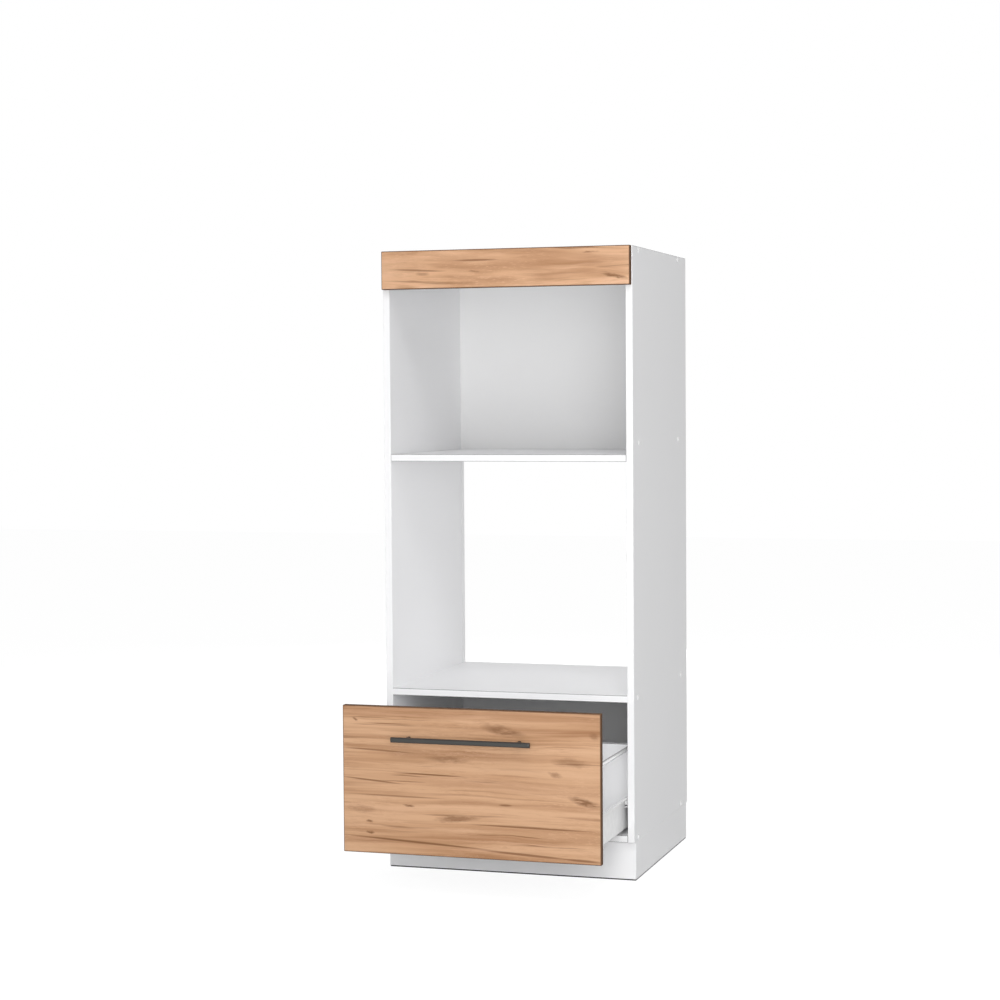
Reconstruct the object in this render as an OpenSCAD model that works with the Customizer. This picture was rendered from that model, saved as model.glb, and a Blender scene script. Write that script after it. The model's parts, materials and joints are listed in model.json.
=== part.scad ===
// Tall kitchen cabinet with a microwave bay, an open oven niche and one deep drawer.
// Millimetres, +Z up. The origin is on the floor, in the middle of the carcass's footprint.
// The front faces -Y and the drawer is drawn as far as drawer_open says.

/* [Carcass] */
// Width over the two side panels
cab_w = 600; // [500:1:800]
// Height from the floor to the top
cab_h = 1450; // [1300:1:1700]
// Depth of the side panels
cab_d = 544; // [520:1:600]
// Thickness of the carcass and plinth boards
board_t = 16; // [15:0.5:18]
// Clear height of the drawer bay
drawer_bay_h = 305; // [290:1:340]
// Clear height of the oven niche
oven_niche_h = 534; // [450:1:600]

/* [Back panels] */
// Thickness of the thin back panels
back_t = 3; // [2.5:0.1:4]
// Space between a back panel and the rear edge of the sides
back_inset = 21; // [15:1:30]
// Depth of the groove that holds a back panel
groove_depth = 8; // [6:0.5:9]
// Clearance at each face and at the end of a back panel in its groove
groove_gap = 0.2; // [0.1:0.05:0.4]

/* [Fronts] */
// Thickness of the fascia and of the drawer front
front_t = 16; // [15:0.5:19]
// Setback of each front's ends from the outside of the cabinet
front_side_gap = 2; // [1:0.5:4]
// Height of the fascia above the microwave bay
fascia_h = 89; // [70:1:140]
// Bottom edge of the drawer front above the underside of the bottom panel
drawer_front_rise = 5.5; // [1:0.5:12]
// Top edge of the drawer front below the top of the lower shelf
drawer_front_drop = 1.5; // [1:0.5:5]

/* [Plinth] */
// Height of the plinth with its glide strips
plinth_h = 90; // [80:1:150]
// Plinth set back from the carcass's front edge
plinth_front_inset = 14; // [5:1:60]
// Plinth set in from the carcass's rear edge
plinth_rear_inset = 11; // [5:1:40]
// Height of a glide strip under the plinth
glide_h = 3; // [2:0.5:6]
// Setback of a glide strip from the faces of its board
glide_inset = 1; // [0.5:0.5:3]

/* [Screws] */
// Front carcass screws of the top panel, from the front edge
upper_screw_front = 57; // [30:1:90]
// Rear carcass screws of the top panel, from the front of the back panel
upper_screw_rear = 65; // [30:1:90]
// Front carcass screws of the lower shelf and bottom, from the front edge
lower_screw_front = 36; // [25:1:90]
// Rear carcass screws of the lower shelf and bottom, from the front of the back panel
lower_screw_rear = 47; // [30:1:90]
// Height of the spare shelf holes above the upper shelf's centre line
spare_row_up = 34; // [20:1:80]
// Diameter of a screw cap
cap_d = 12; // [11:0.5:15]
// How far a screw cap stands proud of the side
cap_h = 0.8; // [0.5:0.1:1.5]
// Length of a carcass screw
carcass_screw_len = 50; // [40:1:60]

/* [Drawer] */
// Distance that the drawer is drawn out, carcass front to the back of the drawer front
drawer_open = 273; // [1:1:295]
// Full travel of the drawer from the closed position
drawer_travel = 295; // [274:1:297]
// Length of the steel drawer sides and of the runners
runner_len = 400; // [380:1:440]
// Height of a steel drawer side
drawer_side_h = 73; // [66:1:90]
// Clear height between the bottom panel and the steel drawer sides
drawer_lift = 12; // [6:1:18]
// Sheet thickness of a drawer side
side_gauge = 1.2; // [1:0.1:1.5]
// Width of the inward flange that carries the drawer's base
base_flange_w = 20; // [15:1:26]
// Thickness of the drawer's base and back
drawer_board_t = 16; // [15:0.5:18]
// Clear height between the drawer's back and the lower shelf
drawer_back_clear = 108.5; // [90:0.5:125]
// Distance from the rear end of the drawer sides to the drawer's back
drawer_back_inset = 24; // [20:1:40]
// Diameter of a railing rod
rod_d = 10; // [8:0.5:12]
// Railing rod's axis inboard of the steel side's inner face
rod_inset = 6; // [6:0.5:10]
// Railing rod's axis below the top of the drawer's back
rod_drop = 7; // [7:0.5:14]

/* [Runners] */
// Gap between the carcass side and the drawer side's outer face
web_gap = 10; // [9.8:0.1:12]
// Sheet thickness of a cabinet runner
runner_gauge = 1; // [0.8:0.1:1.2]
// Diameter of a roller
roller_d = 15; // [13:0.5:16]
// Width of a roller
roller_w = 5.6; // [5:0.1:5.6]
// Diameter of a roller's pin
pin_d = 4; // [3:0.5:5]

/* [Handle] */
// Length of the handle bar
handle_len = 320; // [280:1:400]
// Distance between the handle's posts
handle_pitch = 256; // [160:1:260]
// Height of the bar's section
handle_bar_h = 11; // [9:0.5:14]
// Depth of the bar's section
handle_bar_d = 8; // [7:0.5:12]
// Projection of the handle from the drawer front
handle_reach = 35; // [30:1:45]
// Handle's centre below the top of the drawer front
handle_drop = 69.5; // [40:0.5:120]
// Sideways place of the handle's centre, to the right of the front's centre
handle_shift = -13; // [-40:1:40]

/* [Hidden] */
$fn = 48;

// Clearance round a screw, dowel or plug in its hole
hole_gap = 0.05;
// Running gap between a roller and what it rolls on
roll_gap = 0.3;
// Radial clearance between a roller and its pin
pin_gap = 0.05;
// Overshoot of a cut past a face
eps = 1;

// Places along Y
front_y = -cab_d / 2;
rear_y = cab_d / 2;
back_rear_y = rear_y - back_inset;
back_front_y = back_rear_y - back_t;

// Places along X and Z
inner_x = cab_w / 2 - board_t;
front_half_w = cab_w / 2 - front_side_gap;
bottom_top_z = plinth_h + board_t;
lower_shelf_z = bottom_top_z + drawer_bay_h;
lower_shelf_top_z = lower_shelf_z + board_t;
upper_shelf_z = lower_shelf_top_z + oven_niche_h;
top_panel_z = cab_h - board_t;

// Heights of the middle planes of the screwed panels
top_mid_z = top_panel_z + board_t / 2;
upper_mid_z = upper_shelf_z + board_t / 2;
lower_mid_z = lower_shelf_z + board_t / 2;
bottom_mid_z = plinth_h + board_t / 2;

// Carcass screw: a countersunk head, a plain shank through the side and a thinner core
screw_head_d = 9.5;
screw_head_h = 3;
screw_shank_d = 7;
screw_core_d = 6.2;
screw_tip = 3;
hex_across = 4;
hex_depth = 3;
cap_stem_d = 3.8;
cap_stem_len = 2.5;
plug_depth = 12;

// Cam fittings and dowels of the upper shelf
cam_d = 15;
cam_depth = 12.5;
cam_setback = 34;
cam_bolt_d = 7;
cam_bolt_head_d = 7.4;
cam_bolt_thread_d = 5;
cam_bolt_thread_len = 11;
dowel_d = 8;
dowel_half = 15;
dowel_in_side = 11;
dowel_pitch = 32;

// Small wood screws
small_screw_d = 3.5;
small_head_d = 7;
small_head_h = 1.6;
small_screw_len = 13;
sunk_head_h = 3;
drawer_back_bite = 30;
back_screw_d = 3;
back_screw_len = 18;
back_screw_head_h = 1.5;
back_screw_pitch = cab_w / 3;

// Angle bracket of the fascia and the plinth
bracket_leg = 25;
bracket_w = 18;
bracket_t = 2;
bracket_r = 2;
bracket_hole = 15;
fascia_bracket_z = cab_h - fascia_h / 2;
fascia_bracket_x = cab_w / 4;
plinth_bracket_inset = cab_d / 6;

// Plinth: its outer faces, its long boards and the nails of its glide strips
plinth_front_y = front_y + plinth_front_inset;
plinth_rear_y = rear_y - plinth_rear_inset;
plinth_side_x = cab_w / 2 - board_t / 2;
glide_gap = 0.2;
glide_nail_d = 2;
glide_nail_bite = 14;
glide_nail_x = cab_w * 0.4;
glide_nail_y = cab_d / 4;

// Drawer, measured from the back face of its front, which is its datum
drawer_y = front_y - drawer_open;
drawer_z = bottom_top_z + drawer_lift;
drawer_top_z = drawer_z + drawer_side_h;
web_out_x = inner_x - web_gap;
web_in_x = web_out_x - side_gauge;
flange_edge_gap = 1.2;
bend_r = 1.4;
base_z = drawer_z + side_gauge;
base_top_z = base_z + drawer_board_t;
base_side_gap = bend_r - side_gauge / 2 + 0.1;
drawer_back_top_z = lower_shelf_z - drawer_back_clear;
drawer_rear_y = drawer_y + runner_len;
drawer_back_rear_y = drawer_rear_y - drawer_back_inset;
drawer_back_front_y = drawer_back_rear_y - drawer_board_t;
drawer_front_top_z = lower_shelf_top_z - drawer_front_drop;
drawer_front_bottom_z = plinth_h + drawer_front_rise;

// Runner section, from the underside of the drawer side's top flange down
flange_under_z = drawer_top_z - side_gauge;
runner_top_gap = 1.5;
runner_top_z = flange_under_z - runner_top_gap;
rear_roller_z = runner_top_z - runner_gauge - roll_gap - roller_d / 2;
runner_floor_z = rear_roller_z - roller_d / 2 - roll_gap;
runner_bottom_z = runner_floor_z - runner_gauge;
front_roller_z = flange_under_z - roll_gap - roller_d / 2;
runner_front_y = front_y + 2;
front_roller_y = runner_front_y + roller_d / 2 + 3;
runner_flange_w = web_gap - 0.6;
rear_roller_inset = 12;
rear_roller_y = drawer_rear_y - rear_roller_inset;
stop_t = 1.5;
stop_h = 3;
stop_gap = 0.5;
full_out_roller_y = front_y - drawer_travel + runner_len - rear_roller_inset;
roller_in = web_gap - 1.2;
roller_out = roller_in - roller_w;
collar_d = pin_d + 2;
collar_gap = 0.2;
pin_head_t = 0.6;
pin_head_d = pin_d + 2.6;
runner_screw_inset = 35;
runner_head_t = 0.8;

// Railing
rod_x = web_in_x - rod_inset;
rod_z = drawer_back_top_z - rod_drop;
socket_base_t = 2.5;
socket_wall = 1.8;
socket_len = 12;
socket_screw_drop = 15;

// Corner brackets of the drawer
corner_leg = 22;
corner_h = 40;
corner_t = 1.5;
corner_z = base_top_z + 2;
corner_screw_x = 13;
corner_pitch = 20;
rivet_d = 3.2;
rivet_head_d = 5.6;
rivet_head_t = 0.5;

// Handle
handle_z = drawer_front_top_z - handle_drop;
handle_y = drawer_y - front_t;
post_d = 9;
spigot_d = 5;
spigot_len = 4;
handle_bevel = 2;
handle_screw_d = 4;
handle_screw_bite = 12;

// Colours
WHITE = [0.96, 0.96, 0.95];
BACKING = [0.86, 0.86, 0.86];
DECOR = [0.80, 0.60, 0.43];
STEEL = [0.72, 0.73, 0.75];
WHITE_STEEL = [0.90, 0.90, 0.91];
ANTHRACITE = [0.20, 0.20, 0.21];
PLASTIC = [0.93, 0.93, 0.93];
BEECH = [0.84, 0.69, 0.49];
GLIDE = [0.35, 0.35, 0.36];

// ---------- general forms ----------

// A board from one corner to the opposite one
module board(low, high) {
    translate(low) cube(high - low);
}

// Its children, and their mirror image on the other side of the cabinet
module on_both_sides() {
    children();
    mirror([1, 0, 0]) children();
}

// Local +Z points into the cabinet from the outer face of the right side
module from_right(y, z) {
    translate([cab_w / 2, y, z]) rotate([0, -90, 0]) children();
}

// Local +Z points to the right
module rightward(x, y, z) {
    translate([x, y, z]) rotate([0, 90, 0]) children();
}

// Local +Z points to the front
module forward(x, y, z) {
    translate([x, y, z]) rotate([90, 0, 0]) children();
}

// Local +Z points to the rear
module rearward(x, y, z) {
    translate([x, y, z]) rotate([-90, 0, 0]) children();
}

// Screw with a flat head on the surface z = 0 and its shank below it, along +Z
module pan_screw(d, head_d, head_h, len, grow = 0) {
    translate([0, 0, -head_h]) cylinder(d = head_d + 2 * grow, h = head_h);
    cylinder(d = d + 2 * grow, h = len + grow);
}

// A wood screw of the brackets, runners and sockets
module small_screw(grow = 0, through = 0, head_h = small_head_h) {
    translate([0, 0, -through])
        pan_screw(small_screw_d, small_head_d, head_h, small_screw_len + through, grow);
}

// Section of a sheet folded by right angles: each step is a straight run and the turn after it,
// 1 to the left, -1 to the right and 0 at the end
module folded(steps, gauge, radius, i = 0) {
    run = steps[i][0];
    turn = steps[i][1];
    translate([0, -gauge / 2]) square([run, gauge]);
    if (turn != 0) {
        translate([run, turn * radius]) intersection() {
            difference() {
                circle(r = radius + gauge / 2);
                circle(r = radius - gauge / 2);
            }
            translate([0, turn > 0 ? -2 * radius : 0]) square(2 * radius);
        }
        translate([run + radius, turn * radius])
            rotate(90 * turn)
                folded(steps, gauge, radius, i + 1);
    }
}

// Sheet bent into the corner of the faces z = 0 and x = 0, and centred along Y
module angle_sheet(leg, width, gauge, radius) {
    run = leg - gauge / 2 - radius;
    rotate([90, 0, 0]) translate([0, 0, -width / 2]) linear_extrude(width)
        translate([leg, gauge / 2]) mirror([1, 0])
            folded([[run, 1], [run, 0]], gauge, radius);
}

// Angle bracket of the fascia and the plinth, with its two screw holes
module angle_bracket() {
    difference() {
        angle_sheet(bracket_leg, bracket_w, bracket_t, bracket_r);
        bracket_screws(hole_gap);
    }
}

// The two screws of an angle bracket, one into each face
module bracket_screws(grow = 0) {
    translate([bracket_hole, 0, 0]) rotate([180, 0, 0]) small_screw(grow, bracket_t);
    translate([0, 0, bracket_hole]) rotate([0, -90, 0]) small_screw(grow, bracket_t);
}

// ---------- places of repeated fasteners ----------

// Carcass screws on the right side: top panel, lower shelf and bottom panel
module at_carcass_screws() {
    for (y = [front_y + upper_screw_front, back_front_y - upper_screw_rear])
        from_right(y, top_mid_z) children();
    for (y = [front_y + lower_screw_front, back_front_y - lower_screw_rear])
        for (z = [lower_mid_z, bottom_mid_z])
            from_right(y, z) children();
}

// Spare shelf holes on the right side
module at_spare_holes() {
    for (y = [front_y + upper_screw_front, back_front_y - upper_screw_rear])
        from_right(y, upper_mid_z + spare_row_up) children();
}

// Cam bolts on the right side, their local +Z pointing out into the side panel
module at_cam_bolts() {
    for (y = [front_y + upper_screw_front, back_front_y - upper_screw_rear])
        rightward(inner_x, y, upper_mid_z) children();
}

// Dowels of the upper shelf beside its cam bolts
module at_shelf_dowels() {
    for (y = [front_y + upper_screw_front + dowel_pitch,
              back_front_y - upper_screw_rear - dowel_pitch])
        rightward(inner_x, y, upper_mid_z) children();
}

// Screws that hold the back panels to the rear edges of the horizontal panels
module at_back_screws(heights) {
    for (x = [-back_screw_pitch, 0, back_screw_pitch])
        for (z = heights)
            forward(x, back_rear_y, z) children();
}

// Angle brackets behind the fascia, two at the sides and two under the top panel
module at_fascia_brackets() {
    on_both_sides() {
        translate([inner_x, front_y, fascia_bracket_z]) rotate([90, 0, 180]) children();
        translate([fascia_bracket_x, front_y, top_panel_z])
            rotate([0, -90, 0]) rotate([90, 0, 180]) children();
    }
}

// Angle brackets between the plinth's sides and the bottom panel
module at_plinth_brackets() {
    on_both_sides()
        for (y = [front_y + plinth_bracket_inset, rear_y - plinth_bracket_inset])
            translate([inner_x, y, plinth_h]) rotate([0, 180, 0]) children();
}

// Dowels between the plinth's cross boards and the ends of its long boards
module at_plinth_dowels(columns) {
    span = plinth_h - glide_h;
    for (x = columns)
        for (z = [glide_h + span / 4, glide_h + 3 * span / 4]) {
            rearward(x, plinth_front_y + board_t, z) children();
            forward(x, plinth_rear_y - board_t, z) children();
        }
}

// Nails of the glide strips, three in each plinth board
module at_glide_nails() {
    for (i = [-1, 0, 1]) {
        for (y = [plinth_front_y + board_t / 2, plinth_rear_y - board_t / 2])
            translate([i * glide_nail_x, y, 0]) children();
        for (x = [-plinth_side_x, 0, plinth_side_x])
            translate([x, i * glide_nail_y, 0]) children();
    }
}

// Screws of the right runner
module at_runner_screws() {
    for (i = [0, 1, 2])
        rightward(inner_x, runner_front_y + runner_screw_inset
                  + i * (runner_len / 2 - runner_screw_inset), rear_roller_z) children();
}

// Corners of the drawer where a bracket joins the right steel side to the front or the back
module at_corner_brackets(y) {
    translate([web_in_x, y, corner_z + corner_h / 2]) rotate([90, 0, 180]) children();
}

// Both bracket screw heights, along the local Y of a corner bracket
module at_corner_pitch() {
    for (s = [-1, 1])
        translate([0, s * corner_pitch / 2, 0]) children();
}

// Screws through the steel flange into the drawer's base
module at_base_screws() {
    for (i = [0 : 3])
        translate([web_in_x - base_flange_w / 2, drawer_y + 30 + i * (runner_len - 90) / 3, base_z])
            children();
}

// Screws through the drawer's base into its back
module at_drawer_back_screws() {
    for (x = [-cab_w * 0.3, 0, cab_w * 0.3])
        translate([x, drawer_back_rear_y - drawer_board_t / 2, base_z]) children();
}

// Screw places of the railing sockets on the right: on the front, then on the drawer's back
module at_front_socket() {
    rearward(rod_x, drawer_y, rod_z) children();
}

module at_rear_socket() {
    translate([rod_x, drawer_back_front_y, rod_z]) rotate([-90, 0, 0]) mirror([0, 0, 1]) children();
}

// Places of the handle's two posts on the drawer front's face, local +Z pointing forward
module at_handle_posts() {
    for (s = [-1, 1])
        forward(handle_shift + s * handle_pitch / 2, handle_y, handle_z) children();
}

// ---------- fasteners ----------

module carcass_screw(grow = 0) {
    rotate_extrude()
        polygon([
            [0, 0],
            [screw_head_d / 2 + grow, 0],
            [screw_shank_d / 2 + grow, screw_head_h],
            [screw_shank_d / 2 + grow, board_t],
            [screw_core_d / 2 + grow, board_t + 1],
            [screw_core_d / 2 + grow, carcass_screw_len - screw_tip],
            [0, carcass_screw_len + grow]
        ]);
}

module carcass_screws() {
    color(STEEL) on_both_sides() at_carcass_screws() difference() {
        carcass_screw();
        translate([0, 0, -eps]) cylinder(d = hex_across / cos(30), h = hex_depth + eps, $fn = 6);
    }
}

// A cap's head with its bevelled rim on the surface z = 0, its stem along +Z
module cap_head() {
    rotate_extrude()
        polygon([
            [0, -cap_h],
            [cap_d / 2 - cap_h, -cap_h],
            [cap_d / 2, -cap_h / 3],
            [cap_d / 2, 0],
            [0, 0]
        ]);
}

module screw_caps() {
    color(PLASTIC) on_both_sides() at_carcass_screws() {
        cap_head();
        cylinder(d = cap_stem_d - 2 * hole_gap, h = cap_stem_len);
    }
}

module spare_hole_plugs() {
    color(PLASTIC) on_both_sides() at_spare_holes() {
        cap_head();
        cylinder(d = screw_shank_d, h = plug_depth - 2);
    }
}

// Cam bolt: thread into the side along +Z, shank and head inside the shelf
module cam_bolt(grow = 0) {
    cylinder(d = cam_bolt_thread_d + 2 * grow, h = cam_bolt_thread_len + grow);
    translate([0, 0, -cam_setback + cam_d / 4])
        cylinder(d = cam_bolt_d + 2 * grow, h = cam_setback - cam_d / 4);
}

module shelf_cam_bolts() {
    color(STEEL) on_both_sides() at_cam_bolts() {
        cam_bolt();
        translate([0, 0, -cam_setback]) cylinder(d = cam_bolt_head_d, h = cam_d / 4);
    }
}

// Cam pocket in the underside of the shelf, from the bolt's local frame
module cam_pocket(grow = 0) {
    translate([board_t / 2, 0, -cam_setback]) rotate([0, -90, 0])
        translate([0, 0, grow > 0 ? -eps : 0.2])
            cylinder(d = cam_d + 2 * grow - 0.1, h = cam_depth + (grow > 0 ? eps : -0.2));
}

module shelf_cams() {
    color(STEEL) on_both_sides() at_cam_bolts() difference() {
        cam_pocket();
        translate([0, 0, -cam_setback - cam_d / 4])
            cylinder(d = cam_bolt_head_d + 0.4, h = cam_d);
        translate([board_t / 2 + eps, 0, -cam_setback]) rotate([0, -90, 0])
            for (a = [0, 90])
                rotate(a) translate([-cam_d / 4, -0.6, 0]) cube([cam_d / 2, 1.2, eps + 2]);
    }
}

module shelf_dowel(grow = 0) {
    translate([0, 0, -2 * dowel_half + dowel_in_side - grow])
        cylinder(d = dowel_d + 2 * grow, h = 2 * dowel_half + 2 * grow);
}

module shelf_dowels() {
    color(BEECH) on_both_sides() at_shelf_dowels() shelf_dowel();
}

module back_screw(grow = 0) {
    pan_screw(back_screw_d, small_head_d, back_screw_head_h, back_screw_len, grow);
}

module back_panel_screws() {
    color(STEEL) at_back_screws([top_mid_z, upper_mid_z, bottom_mid_z]) back_screw();
}

module fascia_brackets() {
    color(STEEL) at_fascia_brackets() angle_bracket();
}

module fascia_bracket_screws() {
    color(STEEL) at_fascia_brackets() bracket_screws();
}

// ---------- carcass ----------

// Right side panel: grooved for the backs and bored for everything that it carries
module side_panel() {
    color(WHITE) difference() {
        board([inner_x, front_y, plinth_h], [cab_w / 2, rear_y, cab_h]);
        board([inner_x - eps, back_front_y - groove_gap, plinth_h - eps],
              [inner_x + groove_depth + groove_gap, back_rear_y + groove_gap, cab_h + eps]);
        at_carcass_screws() carcass_screw(hole_gap);
        at_spare_holes() translate([0, 0, -eps])
            cylinder(d = screw_shank_d + 2 * hole_gap, h = plug_depth + eps);
        at_cam_bolts() cam_bolt(hole_gap);
        at_shelf_dowels() shelf_dowel(hole_gap);
        at_fascia_brackets() bracket_screws(hole_gap);
        at_runner_screws() small_screw(hole_gap);
    }
}

module side_right() {
    side_panel();
}

module side_left() {
    mirror([1, 0, 0]) side_panel();
}

// Horizontal panel between the sides, from the front edge to the back panel
module horizontal_panel(z) {
    board([-inner_x, front_y, z], [inner_x, back_front_y, z + board_t]);
}

module top_panel() {
    color(WHITE) difference() {
        horizontal_panel(top_panel_z);
        on_both_sides() at_carcass_screws() carcass_screw(hole_gap);
        at_back_screws([top_mid_z]) back_screw(hole_gap);
        at_fascia_brackets() bracket_screws(hole_gap);
    }
}

module upper_shelf() {
    color(WHITE) difference() {
        horizontal_panel(upper_shelf_z);
        on_both_sides() {
            at_cam_bolts() {
                cam_bolt(hole_gap);
                cam_pocket(hole_gap);
            }
            at_shelf_dowels() shelf_dowel(hole_gap);
        }
        at_back_screws([upper_mid_z]) back_screw(hole_gap);
    }
}

// The lower shelf runs back to the rear edges of the sides, over the lower back panel
module lower_shelf() {
    color(WHITE) difference() {
        board([-inner_x, front_y, lower_shelf_z], [inner_x, rear_y, lower_shelf_top_z]);
        board([-inner_x - eps, back_front_y - groove_gap, lower_shelf_z - eps],
              [inner_x + eps, back_rear_y + groove_gap, lower_shelf_z + groove_depth + groove_gap]);
        on_both_sides() at_carcass_screws() carcass_screw(hole_gap);
    }
}

module bottom_panel() {
    color(WHITE) difference() {
        horizontal_panel(plinth_h);
        on_both_sides() at_carcass_screws() carcass_screw(hole_gap);
        at_back_screws([bottom_mid_z]) back_screw(hole_gap);
        at_plinth_brackets() bracket_screws(hole_gap);
    }
}

// Back panel in the grooves of both sides, over the height of one compartment
module back_panel(low_z, high_z, screw_heights) {
    half_w = inner_x + groove_depth;
    color(BACKING) difference() {
        board([-half_w, back_front_y, low_z], [half_w, back_rear_y, high_z]);
        at_back_screws(screw_heights) back_screw(hole_gap);
    }
}

module upper_back() {
    back_panel(upper_shelf_z, cab_h, [upper_mid_z, top_mid_z]);
}

module lower_back() {
    back_panel(plinth_h, lower_shelf_z + groove_depth, [bottom_mid_z]);
}

module fascia() {
    color(DECOR) difference() {
        board([-front_half_w, front_y - front_t, cab_h - fascia_h], [front_half_w, front_y, cab_h]);
        at_fascia_brackets() bracket_screws(hole_gap);
    }
}

// ---------- plinth ----------

module plinth_dowel(grow = 0) {
    translate([0, 0, -dowel_in_side - grow])
        cylinder(d = dowel_d + 2 * grow, h = 2 * dowel_half + 2 * grow);
}

module glide_nail(grow = 0) {
    cylinder(d = glide_nail_d + 2 * grow, h = glide_h + glide_nail_bite + grow);
}

// Front or rear board of the plinth, over the whole width
module plinth_cross_board(y) {
    color(WHITE) difference() {
        board([-cab_w / 2, y, glide_h], [cab_w / 2, y + board_t, plinth_h]);
        at_plinth_dowels([-plinth_side_x, 0, plinth_side_x]) plinth_dowel(hole_gap);
        at_glide_nails() glide_nail(hole_gap);
    }
}

module plinth_front() {
    plinth_cross_board(plinth_front_y);
}

module plinth_rear() {
    plinth_cross_board(plinth_rear_y - board_t);
}

// Long board of the plinth between its front and rear boards
module plinth_long_board(x) {
    color(WHITE) difference() {
        board([x - board_t / 2, plinth_front_y + board_t, glide_h],
              [x + board_t / 2, plinth_rear_y - board_t, plinth_h]);
        at_plinth_dowels([x]) plinth_dowel(hole_gap);
        at_plinth_brackets() bracket_screws(hole_gap);
        at_glide_nails() glide_nail(hole_gap);
    }
}

module plinth_side_right() {
    plinth_long_board(plinth_side_x);
}

module plinth_side_left() {
    plinth_long_board(-plinth_side_x);
}

module plinth_stiffener() {
    plinth_long_board(0);
}

// Glide strips with their nails, one under each plinth board: the long ones run between the
// front and the rear one
module plinth_glides() {
    half_w = board_t / 2 - glide_inset;
    long_start = plinth_front_y + board_t - glide_inset + glide_gap;
    long_end = plinth_rear_y - board_t + glide_inset - glide_gap;
    color(GLIDE) {
        for (y = [plinth_front_y + board_t / 2, plinth_rear_y - board_t / 2])
            board([-cab_w / 2 + glide_inset, y - half_w, 0],
                  [cab_w / 2 - glide_inset, y + half_w, glide_h]);
        for (x = [-plinth_side_x, 0, plinth_side_x])
            board([x - half_w, long_start, 0], [x + half_w, long_end, glide_h]);
        at_glide_nails() glide_nail();
    }
}

module plinth_dowels() {
    color(BEECH) at_plinth_dowels([-plinth_side_x, 0, plinth_side_x]) plinth_dowel();
}

module plinth_brackets() {
    color(STEEL) at_plinth_brackets() angle_bracket();
}

module plinth_bracket_screws() {
    color(STEEL) at_plinth_brackets() bracket_screws();
}

// ---------- runners and rollers ----------

// Roller with rounded shoulders and a pin bore, along +Z from z = 0
module roller() {
    shoulder = 0.8;
    rotate_extrude()
        polygon([
            [pin_d / 2 + pin_gap, 0],
            [roller_d / 2 - shoulder, 0],
            [roller_d / 2, shoulder],
            [roller_d / 2, roller_w - shoulder],
            [roller_d / 2 - shoulder, roller_w],
            [pin_d / 2 + pin_gap, roller_w]
        ]);
}

// Pin from its root at z = 0, with a collar below the roller and a head above it
module roller_pin(collar_len) {
    top = collar_len + roller_w + 2 * collar_gap;
    cylinder(d = collar_d, h = collar_len);
    cylinder(d = pin_d, h = top + pin_head_t / 2);
    translate([0, 0, top]) cylinder(d = pin_head_d, h = pin_head_t);
}

// Right runner: a channel on the carcass side, open towards the drawer, with its roller's pin
module runner() {
    section_h = runner_top_z - runner_bottom_z;
    flange_run = runner_flange_w - runner_gauge / 2 - bend_r;
    web_run = section_h - runner_gauge - 2 * bend_r;
    color(STEEL) {
        difference() {
            translate([inner_x - runner_flange_w, runner_front_y + runner_len, runner_bottom_z])
                rotate([90, 0, 0]) linear_extrude(runner_len)
                    translate([0, runner_gauge / 2])
                        folded([[flange_run, 1], [web_run, 1], [flange_run, 0]],
                               runner_gauge, bend_r);
            // the top flange is cut away above the front roller
            board([inner_x - runner_flange_w - eps, runner_front_y - eps, front_roller_z],
                  [inner_x - runner_gauge, front_roller_y + roller_d / 2 + 2, runner_top_z + eps]);
            at_runner_screws() small_screw(hole_gap, runner_gauge, runner_head_t);
        }
        translate([inner_x - runner_gauge / 2, front_roller_y, front_roller_z])
            rotate([0, -90, 0]) roller_pin(roller_out - collar_gap - runner_gauge / 2);
        // lug that stops the drawer's roller at full travel
        board([inner_x - runner_flange_w,
               full_out_roller_y - roller_d / 2 - stop_gap - stop_t, runner_floor_z - runner_gauge],
              [inner_x - roller_out,
               full_out_roller_y - roller_d / 2 - stop_gap, runner_floor_z + stop_h]);
    }
}

module runner_right() {
    runner();
}

module runner_left() {
    mirror([1, 0, 0]) runner();
}

module runner_screws() {
    color(STEEL) on_both_sides() at_runner_screws()
        small_screw(0, runner_gauge, runner_head_t);
}

module front_roller() {
    color(PLASTIC) translate([inner_x - roller_out, front_roller_y, front_roller_z])
        rotate([0, -90, 0]) roller();
}

module front_roller_right() {
    front_roller();
}

module front_roller_left() {
    mirror([1, 0, 0]) front_roller();
}

module rear_roller() {
    color(PLASTIC) translate([inner_x - roller_out, rear_roller_y, rear_roller_z])
        rotate([0, -90, 0]) roller();
}

module rear_roller_right() {
    rear_roller();
}

module rear_roller_left() {
    mirror([1, 0, 0]) rear_roller();
}

// ---------- drawer ----------

module drawer_front() {
    color(DECOR) difference() {
        board([-front_half_w, drawer_y - front_t, drawer_front_bottom_z],
              [front_half_w, drawer_y, drawer_front_top_z]);
        at_handle_posts() translate([0, 0, -front_t - eps])
            cylinder(d = handle_screw_d + 2 * hole_gap, h = front_t + 2 * eps);
        on_both_sides() {
            at_corner_brackets(drawer_y) at_corner_pitch() corner_screw(hole_gap);
            at_front_socket() socket_screw(hole_gap);
        }
    }
}

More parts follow.
